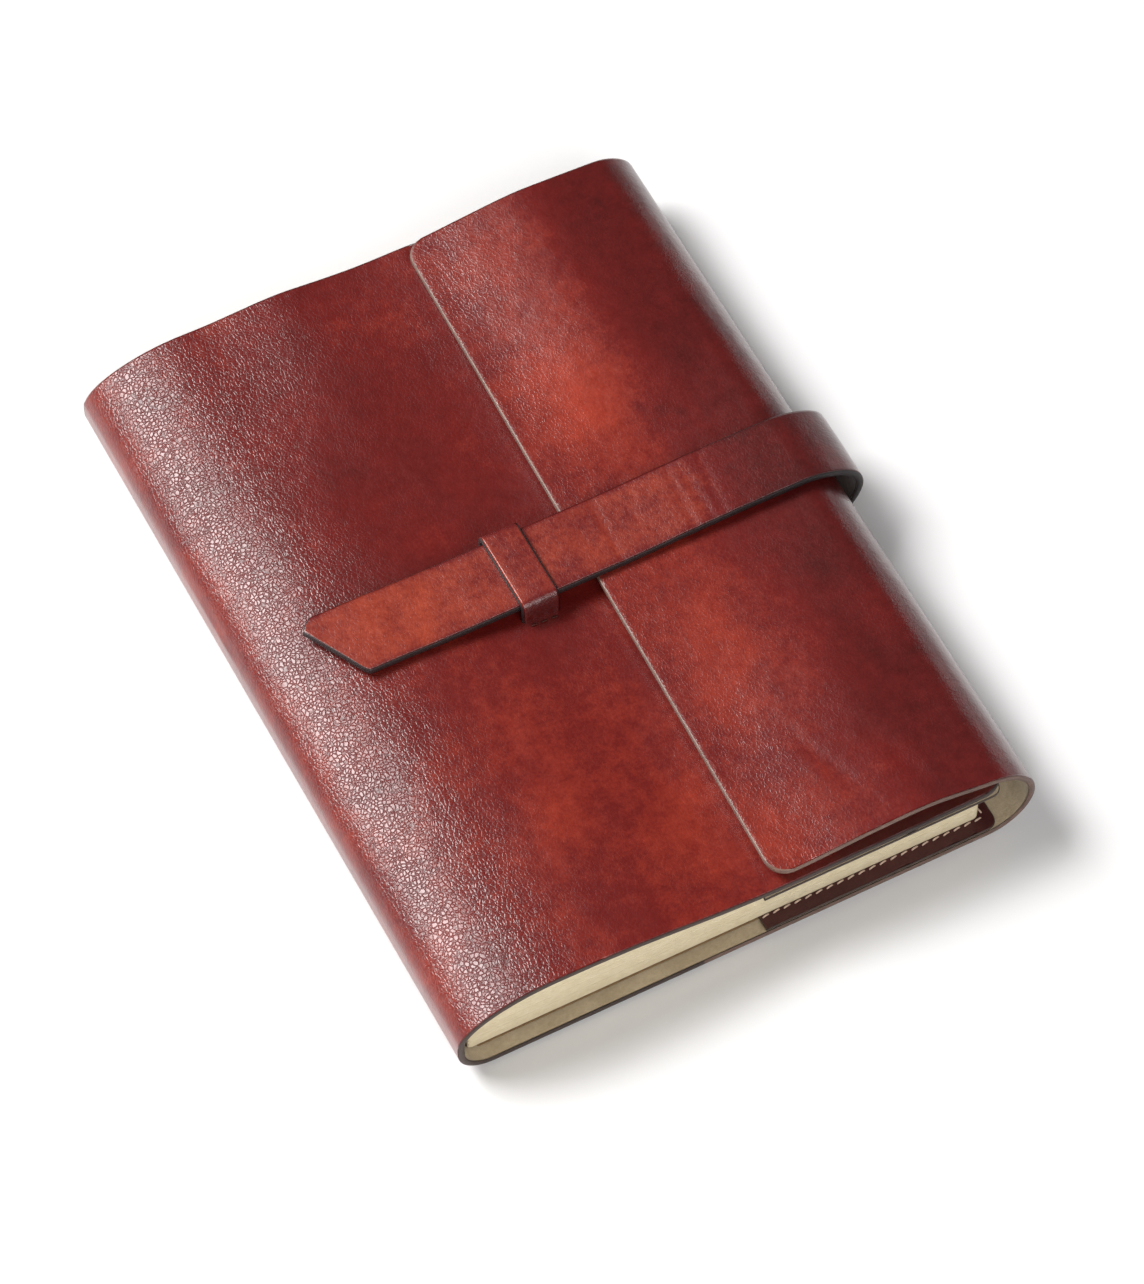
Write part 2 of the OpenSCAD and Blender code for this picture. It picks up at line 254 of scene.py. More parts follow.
@dataclass
class Sheet:
    """A piece of leather, card or paper of even thickness that follows a cross-section."""

    path: Path
    thickness: float
    half_low: float
    half_high: float
    reach: Callable[[float], float]
    plane: Plane = Plane.SIDE
    relief: Callable[[float, float], float] = lambda s, y: 0.0
    tone: Callable[[float, float], float] = lambda s, y: 0.0
    pebble: Callable[[float, float], float] = lambda s, y: 0.13
    edge_r: float = 0.5
    round_start: bool = False
    open_start: bool = False
    open_end: bool = False
    step: float = 1.6
    row_step: float = 3.0
    start: float = 0.0
    coord_shift: tuple[float, float] = (0.0, 0.0)
    coord_way: int = 1
    edge_steps: int = 5

    def rows(self) -> list[float]:
        """Row positions across the sheet, closer together near both edges."""
        near = [0.0, 0.25, 0.7, 1.3, 2.1, 3.1, 4.4, 6.0, 8.0, 10.5]
        width = self.half_high - self.half_low
        if width < 30:
            near = [0.0, 0.3, 0.9, 1.8]
        inner0, inner1 = self.half_low + near[-1], self.half_high - near[-1]
        count = max(2, int((inner1 - inner0) / self.row_step))
        middle = list(np.linspace(inner0, inner1, count + 1))[1:-1]
        return (
            [self.half_low + d for d in near] + middle + [self.half_high - d for d in near[::-1]]
        )

    def columns(self) -> list[float]:
        """Lengths of the columns, closer together where the section bends."""
        turns = np.unwrap(np.arctan2(self.path.tangents[:, 1], self.path.tangents[:, 0]))
        bend = np.abs(np.gradient(turns, self.path.lengths))
        weight = np.maximum(1 / self.step, bend * 8)
        steps = (weight[1:] + weight[:-1]) / 2 * np.diff(self.path.lengths)
        total = np.concatenate([[0.0], np.cumsum(steps)])
        end = max(self.reach(y) for y in np.linspace(self.half_low, self.half_high, 41))
        t0, t1 = np.interp([self.start, end], self.path.lengths, total)
        count = max(6, int(t1 - t0) + 1)
        return list(np.interp(np.linspace(t0, t1, count), total, self.path.lengths))

    def point(self, s: float, y: float, depth: float, out: tuple[float, float]) -> tuple:
        """One surface point.

        Args:
            s: Length along the section.
            y: Distance across.
            depth: Distance below the outer face.
            out: Distance pushed along the section and across it.

        Returns:
            The point in millimetres.
        """
        p, tangent, normal = self.path.at(s)
        raised = self.relief(s, y)
        a, b = p + tangent * out[0] + normal * (raised - depth)
        across = y + out[1]
        return (a, across, b) if self.plane is Plane.SIDE else (across, a, b)

    def build(self, name: str) -> bpy.types.Object:
        """Makes the closed mesh with its pattern coordinates.

        Args:
            name: Name of the new object.

        Returns:
            The object, in the shared frame.
        """
        ys, ss = self.rows(), self.columns()
        n, m = len(ys), len(ss)
        end_max = ss[-1]
        hold = max(self.start, end_max - 30.0)
        grid = np.zeros((m, n))
        for j, y in enumerate(ys):
            end = self.reach(y)
            for i, s in enumerate(ss):
                grid[i, j] = s if s <= hold else hold + (s - hold) * (end - hold) / (end_max - hold)
        verts: list[tuple] = []
        coords: list[tuple] = []
        tones: list[float] = []
        pebbles: list[float] = []

        def add(i: int, j: int, depth: float, out: tuple[float, float]) -> int:
            """Adds a vertex and returns its number."""
            s, y = float(grid[i, j]), ys[j]
            verts.append(self.point(s, y, depth, out))
            along = self.coord_way * (s + out[0]) + self.coord_shift[0]
            across = y + out[1] + self.coord_shift[1]
            coords.append((along / DECIMETRE, across / DECIMETRE, depth / DECIMETRE))
            tones.append(self.tone(s, y))
            pebbles.append(self.pebble(s, y))
            return len(verts) - 1

        def outward(i: int, j: int) -> tuple[float, float]:
            """Direction away from the sheet at a boundary vertex."""
            along, across = 0.0, 0.0
            if i == m - 1 and not self.open_end:
                j0, j1 = max(0, j - 1), min(n - 1, j + 1)
                slope = (grid[m - 1, j1] - grid[m - 1, j0]) / (ys[j1] - ys[j0])
                along, across = 1.0, -slope
            if i == 0 and self.round_start:
                along = -1.0
            if j == 0:
                across -= 1.0
            if j == n - 1:
                across += 1.0
            size = math.hypot(along, across) or 1.0
            return along / size, across / size

        def open_side(i: int, p: int) -> bool:
            """Whether a border step lies on an end that another length carries on from."""
            return (self.open_start and i == p == 0) or (self.open_end and i == p == m - 1)

        t, r = self.thickness, min(self.edge_r, self.thickness * 0.5)
        border = (
            [(i, 0) for i in range(m)]
            + [(m - 1, j) for j in range(1, n)]
            + [(i, n - 1) for i in range(m - 2, -1, -1)]
            + [(0, j) for j in range(n - 2, 0, -1)]
        )
        on_border = set(border)

        def inset(i: int, j: int) -> tuple[float, float]:
            """How far a face vertex stays inside the outline."""
            if (i, j) not in on_border:
                return (0.0, 0.0)
            a, b = outward(i, j)
            return (-a * r, -b * r)

        top = [[add(i, j, 0.0, inset(i, j)) for j in range(n)] for i in range(m)]
        low = [[add(i, j, t, inset(i, j)) for j in range(n)] for i in range(m)]
        faces: list[tuple] = []
        slots: list[int] = []
        for i in range(m - 1):
            for j in range(n - 1):
                faces.append((top[i][j], top[i + 1][j], top[i + 1][j + 1], top[i][j + 1]))
                slots.append(Face.GRAIN.value)
                faces.append((low[i][j], low[i][j + 1], low[i + 1][j + 1], low[i + 1][j]))
                slots.append(Face.FLESH.value)
        loops = [[top[i][j] for i, j in border]]
        for k in range(1, self.edge_steps + 1):
            angle = math.pi / 2 - math.pi * k / (self.edge_steps + 1)
            push = r * (math.cos(angle) ** 0.8 - 1)
            depth = t / 2 - t / 2 * math.copysign(abs(math.sin(angle)) ** 0.8, math.sin(angle))
            loop = []
            for i, j in border:
                a, b = outward(i, j)
                loop.append(add(i, j, depth, (a * push, b * push)))
            loops.append(loop)
        loops.append([low[i][j] for i, j in border])
        for upper, lower in zip(loops, loops[1:]):
            for k in range(len(upper)):
                q = (k + 1) % len(upper)
                if open_side(border[k][0], border[q][0]):
                    continue
                faces.append((upper[k], lower[k], lower[q], upper[q]))
                slots.append(Face.EDGE.value)
        return make_object(name, verts, faces, slots, coords, tones, pebbles)


def make_object(
    name: str,
    verts: Sequence[tuple],
    faces: Sequence[tuple],
    slots: Sequence[int] | None = None,
    coords: Sequence[tuple] | None = None,
    tones: Sequence[float] | None = None,
    pebbles: Sequence[float] | None = None,
    flat: bool = False,
) -> bpy.types.Object:
    """Makes a mesh object from millimetre points.

    Args:
        name: Name of the object.
        verts: Points in millimetres from the spine.
        faces: Vertex numbers of each face.
        slots: Material slot of each face.
        coords: Pattern coordinates of each vertex, in decimetres of flat leather.
        tones: Local lightness of each vertex, from -1 to 1.
        pebbles: Strength of the pebble grain at each vertex, from 0 to 1.
        flat: True to leave the faces flat-shaded.

    Returns:
        The linked object.
    """
    mesh = bpy.data.meshes.new(name)
    mesh.from_pydata([row(*v) for v in verts], [], faces)
    if slots is not None:
        mesh.polygons.foreach_set("material_index", np.array(slots, np.int32))
    mesh.polygons.foreach_set("use_smooth", np.full(len(mesh.polygons), not flat))
    kept = mesh.attributes.new("hide_place", "FLOAT_VECTOR", "POINT")
    values = coords if coords is not None else [tuple(a / DECIMETRE for a in v) for v in verts]
    kept.data.foreach_set("vector", np.array(values, np.float32).ravel())
    for attribute, given in (("tone", tones), ("pebble", pebbles)):
        kept = mesh.attributes.new(attribute, "FLOAT", "POINT")
        filled = given if given is not None else [0.0] * len(verts)
        kept.data.foreach_set("value", np.array(filled, np.float32))
    work = bmesh.new()
    work.from_mesh(mesh)
    bmesh.ops.recalc_face_normals(work, faces=work.faces)
    work.to_mesh(mesh)
    work.free()
    mesh.update()
    obj = bpy.data.objects.new(name, mesh)
    bpy.context.scene.collection.objects.link(obj)
    return obj


class Nodes:
    """Short ways to write a material's nodes."""

    def __init__(self, name: str) -> None:
        """Starts an empty material with its output and main shader."""
        self.material = bpy.data.materials.new(name)
        self.material.use_nodes = True
        self.tree = self.material.node_tree
        self.tree.nodes.clear()
        self.output = self.tree.nodes.new("ShaderNodeOutputMaterial")
        self.shader = self.tree.nodes.new("ShaderNodeBsdfPrincipled")
        self.tree.links.new(self.shader.outputs[0], self.output.inputs[0])

    def add(self, kind: str, inputs: dict | None = None, **settings):
        """A node with its settings and inputs set.

        Args:
            kind: Blender's name of the node type.
            inputs: Values or sockets for its inputs.
            **settings: Properties of the node.

        Returns:
            The node.
        """
        node = self.tree.nodes.new(kind)
        for key, value in settings.items():
            setattr(node, key, value)
        for key, value in (inputs or {}).items():
            self.put(node.inputs[key], value)
        return node

    def put(self, socket, value) -> None:
        """Links a socket or sets its value."""
        if isinstance(value, bpy.types.NodeSocket):
            self.tree.links.new(value, socket)
        else:
            socket.default_value = value

    def place(self):
        """The flat-leather coordinates, which stay with the piece as it bends."""
        return self.add("ShaderNodeAttribute", attribute_name="hide_place").outputs["Vector"]

    def tone(self):
        """The local lightness painted on the piece."""
        return self.add("ShaderNodeAttribute", attribute_name="tone").outputs["Fac"]

    def grain(self):
        """The local strength of the pebble grain painted on the piece."""
        return self.add("ShaderNodeAttribute", attribute_name="pebble").outputs["Fac"]

    def noise(self, scale: float, detail: float = 3.0, rough: float = 0.5, place=None):
        """Noise over the flat leather, 0 to 1."""
        node = self.add(
            "ShaderNodeTexNoise",
            {"Vector": place or self.place(), "Scale": scale, "Detail": detail, "Roughness": rough},
        )
        return node.outputs["Fac"]

    def math(self, operation: str, a, b=0.0, clamp: bool = False):
        """One arithmetic node."""
        return self.add("ShaderNodeMath", {0: a, 1: b}, operation=operation, use_clamp=clamp).outputs[0]

    def ramp(self, fac, stops: Sequence[tuple[float, tuple[float, float, float]]]):
        """A colour ramp with any number of stops."""
        node = self.add("ShaderNodeValToRGB", {"Fac": fac})
        ramp = node.color_ramp
        while len(ramp.elements) < len(stops):
            ramp.elements.new(0.5)
        for element, (at, colour) in zip(ramp.elements, stops):
            element.position = at
            element.color = (*colour, 1.0)
        return node.outputs["Color"]

    def levels(self, value, low: float, high: float, out_low: float = 0.0, out_high: float = 1.0):
        """A value stretched from one span to another."""
        return self.add(
            "ShaderNodeMapRange",
            {"Value": value, "From Min": low, "From Max": high, "To Min": out_low, "To Max": out_high},
        ).outputs[0]

    def eased(self, value, low: float, high: float):
        """A value eased from 0 to 1 over a span."""
        node = self.add("ShaderNodeMapRange", {"Value": value, "From Min": low, "From Max": high})
        node.interpolation_type = "SMOOTHSTEP"
        return node.outputs[0]

    def bump(self, height, strength: float, distance: float, base=None):
        """A bump node, on top of another where given."""
        inputs = {"Height": height, "Strength": strength, "Distance": distance}
        if base is not None:
            inputs["Normal"] = base
        return self.add("ShaderNodeBump", inputs).outputs[0]


@dataclass(frozen=True)
class GrainLeather:
    """Glossy pulled-up hide: dark red-brown with orange where it has stretched."""

    name: str
    dark: tuple = (0.075, 0.0055, 0.005)
    middle: tuple = (0.158, 0.0088, 0.0066)
    warm: tuple = (0.375, 0.036, 0.0145)
    mottle: float = 5.0
    spread: float = 0.28
    cell: float = 96.0
    rough: float = 0.35
    coat: float = 0.9
    pebble: float = 0.34

    def build(self) -> bpy.types.Material:
        """Makes the material."""
        n = Nodes(self.name)
        place = n.place()
        broad = n.noise(self.mottle, 5.0, 0.62, place)
        cloud = n.noise(self.mottle * 5, 4.0, 0.6, place)
        speck = n.noise(110.0, 3.0, 0.6, place)
        mixed = n.math("ADD", n.math("MULTIPLY", broad, 0.42), n.math("MULTIPLY", cloud, 0.34))
        mixed = n.math("ADD", mixed, n.math("MULTIPLY", speck, 0.24))
        mixed = n.levels(mixed, 0.30, 0.70, 0.5 - self.spread, 0.5 + self.spread)
        mixed = n.math("ADD", mixed, n.math("MULTIPLY", n.tone(), 0.5), clamp=True)
        drift = n.add("ShaderNodeTexNoise", {"Vector": place, "Scale": 40.0, "Detail": 2.0})
        wander = n.add(
            "ShaderNodeVectorMath",
            {0: drift.outputs["Color"], 1: (0.014, 0.022, 0.014)},
            operation="MULTIPLY",
        ).outputs[0]
        moved = n.add("ShaderNodeVectorMath", {0: place, 1: wander}, operation="ADD").outputs[0]
        cells = n.add(
            "ShaderNodeTexVoronoi",
            {"Vector": moved, "Scale": self.cell, "Randomness": 1.0},
            feature="DISTANCE_TO_EDGE",
        ).outputs["Distance"]
        dome = n.math("MULTIPLY", n.eased(cells, -0.02, 0.22), n.grain())
        crease = n.eased(cells, 0.0, 0.13)
        gap = n.math("MULTIPLY", n.math("SUBTRACT", 1.0, crease), n.grain())
        colour = n.ramp(mixed, [(0.0, self.dark), (0.5, self.middle), (1.0, self.warm)])
        # Painted shade: the colour is darkened in the creases between the grain cells.
        depth = n.math("SUBTRACT", 1.0, n.math("MULTIPLY", gap, 0.42))
        shaded = n.add("ShaderNodeVectorMath", {0: colour, "Scale": depth}, operation="SCALE")
        n.put(n.shader.inputs["Base Color"], shaded.outputs[0])
        shine = n.math("ADD", n.math("MULTIPLY", cloud, 0.14), n.math("MULTIPLY", speck, 0.12))
        shine = n.math("ADD", shine, n.math("MULTIPLY", gap, 0.25))
        n.put(n.shader.inputs["Roughness"], n.math("ADD", shine, self.rough - 0.13))
        n.put(n.shader.inputs["Coat Weight"], self.coat)
        n.put(n.shader.inputs["Coat Roughness"], 0.30)
        n.put(n.shader.inputs["Specular IOR Level"], 0.5)
        swell = n.noise(14.0, 3.0, 0.55, place)
        normal = n.bump(swell, 0.30, 0.0010)
        fine = n.math("ADD", dome, n.math("MULTIPLY", speck, 0.18))
        normal = n.bump(fine, self.pebble, 0.00032, normal)
        n.put(n.shader.inputs["Normal"], normal)
        n.put(n.shader.inputs["Coat Normal"], normal)
        return n.material


@dataclass(frozen=True)
class Suede:
    """Flesh side of the hide: matt, fibrous, grey-beige to greenish tan."""

    name: str
    pale: tuple = (0.66, 0.55, 0.39)
    deep: tuple = (0.42, 0.33, 0.21)

    def build(self) -> bpy.types.Material:
        """Makes the material."""
        n = Nodes(self.name)
        place = n.place()
        fibre = n.noise(90.0, 6.0, 0.7, place)
        cloud = n.noise(9.0, 4.0, 0.6, place)
        mixed = n.math("ADD", n.math("MULTIPLY", fibre, 0.5), n.math("MULTIPLY", cloud, 0.5))
        mixed = n.math("ADD", n.levels(mixed, 0.3, 0.7), n.math("MULTIPLY", n.tone(), 0.5), clamp=True)
        n.put(n.shader.inputs["Base Color"], n.ramp(mixed, [(0.0, self.deep), (1.0, self.pale)]))
        n.put(n.shader.inputs["Roughness"], 0.9)
        n.put(n.shader.inputs["Sheen Weight"], 0.3)
        n.put(n.shader.inputs["Specular IOR Level"], 0.2)
        n.put(n.shader.inputs["Normal"], n.bump(fibre, 0.7, 0.0004))
        return n.material


@dataclass(frozen=True)
class CutEdge:
    """Burnished cut edge, with the hide's layers faintly showing."""

    name: str
    dark: tuple = (0.026, 0.015, 0.012)
    pale: tuple = (0.105, 0.062, 0.048)
    rough: float = 0.42

    def build(self) -> bpy.types.Material:
        """Makes the material."""
        n = Nodes(self.name)
        place = n.place()
        stretch = n.add("ShaderNodeMapping", {"Vector": place, "Scale": (1.0, 1.0, 30.0)}).outputs[0]
        layers = n.noise(24.0, 5.0, 0.65, stretch)
        mixed = n.math("ADD", n.levels(layers, 0.3, 0.72), n.math("MULTIPLY", n.tone(), 0.3), clamp=True)
        n.put(n.shader.inputs["Base Color"], n.ramp(mixed, [(0.0, self.dark), (1.0, self.pale)]))
        n.put(n.shader.inputs["Roughness"], n.levels(layers, 0.3, 0.7, self.rough, self.rough + 0.2))
        n.put(n.shader.inputs["Normal"], n.bump(layers, 0.5, 0.0003))
        return n.material


@dataclass(frozen=True)
class Plain:
    """Paper, card, cloth or thread: one colour with fine variation."""

    name: str
    colour: tuple
    shade: tuple
    scale: float = 30.0
    rough: float = 0.8
    bump: float = 0.3
    stretch: tuple = (1.0, 1.0, 1.0)

    def build(self) -> bpy.types.Material:
        """Makes the material."""
        n = Nodes(self.name)
        place = n.add("ShaderNodeMapping", {"Vector": n.place(), "Scale": self.stretch}).outputs[0]
        grain = n.noise(self.scale, 5.0, 0.6, place)
        mixed = n.math("ADD", n.levels(grain, 0.3, 0.7), n.math("MULTIPLY", n.tone(), 0.5), clamp=True)
        n.put(n.shader.inputs["Base Color"], n.ramp(mixed, [(0.0, self.shade), (1.0, self.colour)]))
        n.put(n.shader.inputs["Roughness"], self.rough)
        n.put(n.shader.inputs["Specular IOR Level"], 0.25)
        n.put(n.shader.inputs["Normal"], n.bump(grain, self.bump, 0.0002))
        return n.material


@dataclass
class Finishes:
    """Every finish used, built once."""

    hide: list = field(default_factory=list)
    flap: list = field(default_factory=list)
    strap: list = field(default_factory=list)
    pocket: list = field(default_factory=list)
    paper: bpy.types.Material | None = None
    card: bpy.types.Material | None = None
    thread: bpy.types.Material | None = None
    cloth: bpy.types.Material | None = None

    def build(self) -> "Finishes":
        """Makes the materials."""
        suede = Suede("flesh_side").build()
        edge = CutEdge("burnished_edge").build()
        dark_edge = CutEdge("dark_strap_edge", (0.012, 0.008, 0.009), (0.05, 0.03, 0.03), 0.35).build()
        self.hide = [GrainLeather("chestnut_hide").build(), suede, edge]
        # Paler copy of the cut-edge finish for the flap and back: a painted highlight where light catches
        # the rounded edges.
        highlit_flap_edge = CutEdge("flap_edge_painted_highlight", (0.085, 0.047, 0.037), (0.30, 0.175, 0.13), 0.24).build()
        self.flap = [self.hide[0], suede, highlit_flap_edge]
        # Much darker copy of the flesh finish for the strap: painted shade on its underside and inside
        # its loop.
        shaded_strap_flesh = Suede("strap_flesh_painted_shade", (0.11, 0.06, 0.04), (0.05, 0.026, 0.018)).build()
        strap_grain = GrainLeather(
            "chestnut_strap", warm=(0.41, 0.054, 0.021), mottle=9.0, rough=0.38, pebble=0.5
        ).build()
        self.strap = [strap_grain, shaded_strap_flesh, dark_edge]
        pocket = GrainLeather(
            "dark_pocket_leather",
            dark=(0.028, 0.005, 0.006),
            middle=(0.062, 0.011, 0.012),
            warm=(0.11, 0.024, 0.02),
            rough=0.5,
            coat=0.05,
            pebble=0.4,
        ).build()
        self.pocket = [pocket, suede, edge]
        self.paper = Plain("cream_paper", (0.86, 0.76, 0.55), (0.78, 0.67, 0.46), 40.0).build()
        self.card = Plain("kraft_card", (0.34, 0.22, 0.11), (0.22, 0.13, 0.06), 60.0).build()
        self.thread = Plain(
            "waxed_thread", (0.86, 0.66, 0.52), (0.55, 0.38, 0.30), 200.0, 0.55, 0.6
        ).build()
        self.cloth = Plain("spine_cloth", (0.10, 0.05, 0.03), (0.04, 0.02, 0.015), 150.0).build()
        return self


def dress(obj: bpy.types.Object, materials: Sequence[bpy.types.Material]) -> bpy.types.Object:
    """Gives the object its materials, one per slot."""
    for material in materials:
        obj.data.materials.append(material)
    return obj


def report(obj: bpy.types.Object, *nodes: str, slot: str) -> bpy.types.Object:
    """Hides the CAD nodes that a piece stands for, and reports it.

    Args:
        obj: The piece.
        *nodes: CAD nodes it replaces.
        slot: Not used.

    Returns:
        The piece.
    """
    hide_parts(*nodes)
    log.info("%s: %d faces, for %s", obj.name, len(obj.data.polygons), ", ".join(nodes))
    return obj


def corner_reach(end: float, r: float, low: float, high: float) -> Callable[[float], float]:
    """How far a sheet with two rounded corners reaches at each distance across."""

    def reach(y: float) -> float:
        """Reach at y."""
        inside = max(0.0, max(low + r - y, y - high + r))
        inside = min(inside, r)
        return end - r + math.sqrt(max(0.0, r * r - inside * inside))

    return reach


@dataclass(frozen=True)
class Patch:
    """A soft patch of painted lightness, with its middle and spread in millimetres."""

    strength: float
    x: float
    spread_x: float
    y: float = 0.0
    spread_y: float = math.inf

    def at(self, x: float, y: float) -> float:
        """Lightness that the patch adds at a place."""
        away = ((x - self.x) / self.spread_x) ** 2 + ((y - self.y) / self.spread_y) ** 2
        return self.strength * math.exp(-away)


@dataclass(frozen=True)
class Vein:
    """A fine dark line in the grain."""

    strength: float
    start: tuple[float, float]
    end: tuple[float, float]
    width: float

    def at(self, x: float, y: float) -> float:
        """Lightness that the vein takes away at a place."""
        return self.strength * scratch(x, y, self.start, self.end, self.width)


UNDERSIDE_TONE = -0.1
UNDERSIDE_Z = 6.0
FRONT_PATCHES = (
    Patch(0.25, 48, 24, -62, 34),
    Patch(0.42, 80, 13, -84, 30),
    Patch(0.20, 3, 5),
    Patch(-0.30, 58, 30, 45, 48),
)
FLAP_PATCHES = (
    Patch(0.55, 99, 10, -97, 15),
    Patch(0.85, 112, 13, 47, 20),
    Patch(0.45, 108, 12, -42, 26),
    Patch(0.25, 112, 12, 98, 16),
    Patch(-0.25, 118, 16, -80, 14),
)
FLAP_VEINS = (
    Vein(0.55, (123.7, 35.7), (147.3, 21.5), 0.55),
    Vein(0.45, (143.5, 94.5), (151.0, 100.5), 0.6),
)


@dataclass
class Hide:
    """The wrapped hide: one mesh for the spine side and one for the fold side, meeting under the back."""

    sizes: Sizes
    finishes: Finishes
    seam_x: float = 70.0
    head_rise: float = 2.5
    flap_rise: float = 3.4
    foot_rise: float = 1.9

    def front_z(self, x: float) -> float:
        """Height of the front's outer face."""
        s = self.sizes
        share = min(1.0, max(0.0, (x - s.dip_start) / (s.dip_end - s.dip_start)))
        return s.depth - s.dip * (1 - math.cos(math.pi * share)) / 2

    def spine_path(self) -> Path:
        """Outer line from under the back, round the spine, to the front's free edge."""
        s = self.sizes
        points = line(self.seam_x, s.spine_low, 0.0)
        points += arc(s.spine_low, s.spine_low, s.spine_low, 270, 180)
        turns = np.radians(np.linspace(0, 90, 50))
        points += [
            (s.shoulder_x * (1 - math.cos(a)), self.front_z(0) + s.shoulder_z * (math.sin(a) - 1))
            for a in turns
        ]
        points += [(x, self.front_z(x)) for x in np.arange(s.shoulder_x, s.front_end, 1.5)]
        points.append((s.front_end, self.front_z(s.front_end)))
        return Path(points, 1)

    def fold_path(self) -> Path:
        """Outer line from under the back, round the fore-edge fold, to the flap's free edge."""
        s = self.sizes
        points = line(self.seam_x, s.fold_x, 0.0)
        points += arc(s.fold_x, s.half, s.half, -90, 90, 60)
        points += line(s.fold_x, s.width - s.flap_reach - s.flap_skew, s.depth)
        return Path(points, -1)

    def front_tone(self, path: Path) -> Callable[[float, float], float]:
        """Painted lightness of the front and spine, with painted shade under the flap."""

        def tone(length: float, y: float) -> float:
            """Tone at a place on the hide."""
            (x, z), _, _ = path.at(length)
            if z < UNDERSIDE_Z:
                return UNDERSIDE_TONE
            value = sum(patch.at(x, y) for patch in FRONT_PATCHES)
            # Painted shade: the front is darkened where it lies under the flap.
            under_flap_shade = smooth((x - 100) / 14)
            return value - under_flap_shade + 0.20 * wave(x / 14, y / 17, 3.1)

        return tone

    def flap_tone(self, path: Path) -> Callable[[float, float], float]:
        """Painted lightness of the flap, fold and back, with painted shade towards and round the fold."""

        def tone(length: float, y: float) -> float:
            """Tone at a place on the hide."""
            (x, z), _, _ = path.at(length)
            if z < UNDERSIDE_Z:
                return UNDERSIDE_TONE
            # Painted shade: darker towards the fore-edge and round the fold, which faces away from the
            # key light.
            fold_shade = smooth((x - 122) / 24)
            value = 0.12 - 0.75 * fold_shade + 0.16 * wave(x / 11, y / 15, 7.7)
            value += sum(patch.at(x, y) for patch in FLAP_PATCHES)
            return value - sum(vein.at(x, y) for vein in FLAP_VEINS)

        return tone

    def front_pebble(self, path: Path) -> Callable[[float, float], float]:
        """Where the grain stands up: most along the shoulder, least in the smooth middle."""

        def pebble(length: float, y: float) -> float:
            """Grain strength at a place on the hide."""
            (x, z), _, _ = path.at(length)
            if z < 12.0:
                return 0.35
            value = 0.17 + 0.83 * math.exp(-(((x - 15) / 17) ** 2)) * smooth((x + 1) / 6)
            value += 0.25 * smooth((y - 40) / 50) * math.exp(-(((x - 50) / 40) ** 2))
            value += 0.16 * wave(x / 16, y / 20, 21.0)
            return min(1.0, max(0.1, value))

        return pebble

    def flap_pebble(self, path: Path) -> Callable[[float, float], float]:
        """Where the flap's grain stands up: a little near the free edge and the head."""

        def pebble(length: float, y: float) -> float:
            """Grain strength at a place on the hide."""
            (x, _), _, _ = path.at(length)
            value = 0.14 + 0.16 * math.exp(-(((x - 100) / 12) ** 2))
            value += 0.14 * wave(x / 16, y / 20, 27.0)
            return min(1.0, max(0.08, value))

        return pebble

    def front_relief(self, path: Path) -> Callable[[float, float], float]:
        """Slow unevenness of the front's face."""

        def relief(length: float, y: float) -> float:
            """Raised height in millimetres."""
            (x, z), _, _ = path.at(length)
            if z < 15.0:
                return 0.0
            away = smooth((abs(y - self.sizes.strap_y) - 13) / 10)
            edge = smooth((self.sizes.front_end - x) / 12)
            value = 0.55 * wave(x / 26, y / 38, 1.7) * away * edge
            value -= 0.18 * smooth((x - 10) / 6) * (1 - away)
            head = smooth((y - 32) / 66) * smooth((x - 34) / 28)
            value += self.head_rise * head * (1 - smooth((x - 92) / 34))
            return value

        return relief

    def flap_relief(self, path: Path) -> Callable[[float, float], float]:
        """Gentle bulge of the flap away from the strap, with two soft creases near the foot."""

        def relief(length: float, y: float) -> float:
            """Raised height in millimetres."""
            (x, z), _, _ = path.at(length)
            if z < 20.0:
                return 0.0
            away = smooth((abs(y - self.sizes.strap_y) - 14) / 60)
            rise = smooth((x - 93) / 38) * (1 - smooth((x - 129) / 34))
            most = self.flap_rise if y > self.sizes.strap_y else self.foot_rise
            value = away * (most * rise + 0.30 * wave(x / 20, y / 30, 5.2))
            for cx, cy, depth in ((118.0, -88.0, 0.35), (136.0, -97.0, 0.25)):
                across = (x - cx) * 0.94 + (y - cy) * 0.34
                along = (y - cy) * 0.94 - (x - cx) * 0.34
                value -= depth * math.exp(-((across / 1.6) ** 2) - (along / 11) ** 2)
            return value - 0.12 * (1 - away)

        return relief

    def build(self) -> None:
        """Builds both meshes, each along its cross-section."""
        s = self.sizes
        half = s.height / 2
        path = self.spine_path()
        front = Sheet(
            path, s.hide, -half, half, corner_reach(path.length, s.front_corner, -half, half),
            relief=self.front_relief(path), tone=self.front_tone(path), open_start=True,
            pebble=self.front_pebble(path),
            coord_way=-1, coord_shift=(310.0, 40.0),
        ).build("front_and_spine")
        dress(front, self.finishes.hide)
        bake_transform(front)
        report(front, "front_cover", slot="hide_leather")
        path = self.fold_path()
        base = path.length - s.flap_skew / 2
        flap_half = half - s.flap_inset

        def reach(y: float) -> float:
            """The flap's slanted free edge with rounded corners."""
            slanted = base - s.flap_skew * y / s.height
            over = min(s.flap_corner, max(0.0, abs(y) - (half - s.flap_corner)))
            return slanted - s.flap_corner + math.sqrt(s.flap_corner**2 - over**2)

        flap = Sheet(
            path, s.hide, -half, half, reach, relief=self.flap_relief(path),
            tone=self.flap_tone(path), open_start=True, coord_shift=(310.0, 40.0),
            pebble=self.flap_pebble(path),
        )
        fold_length = path.find(0, s.fold_x) + math.pi * s.half
        place = flap.point

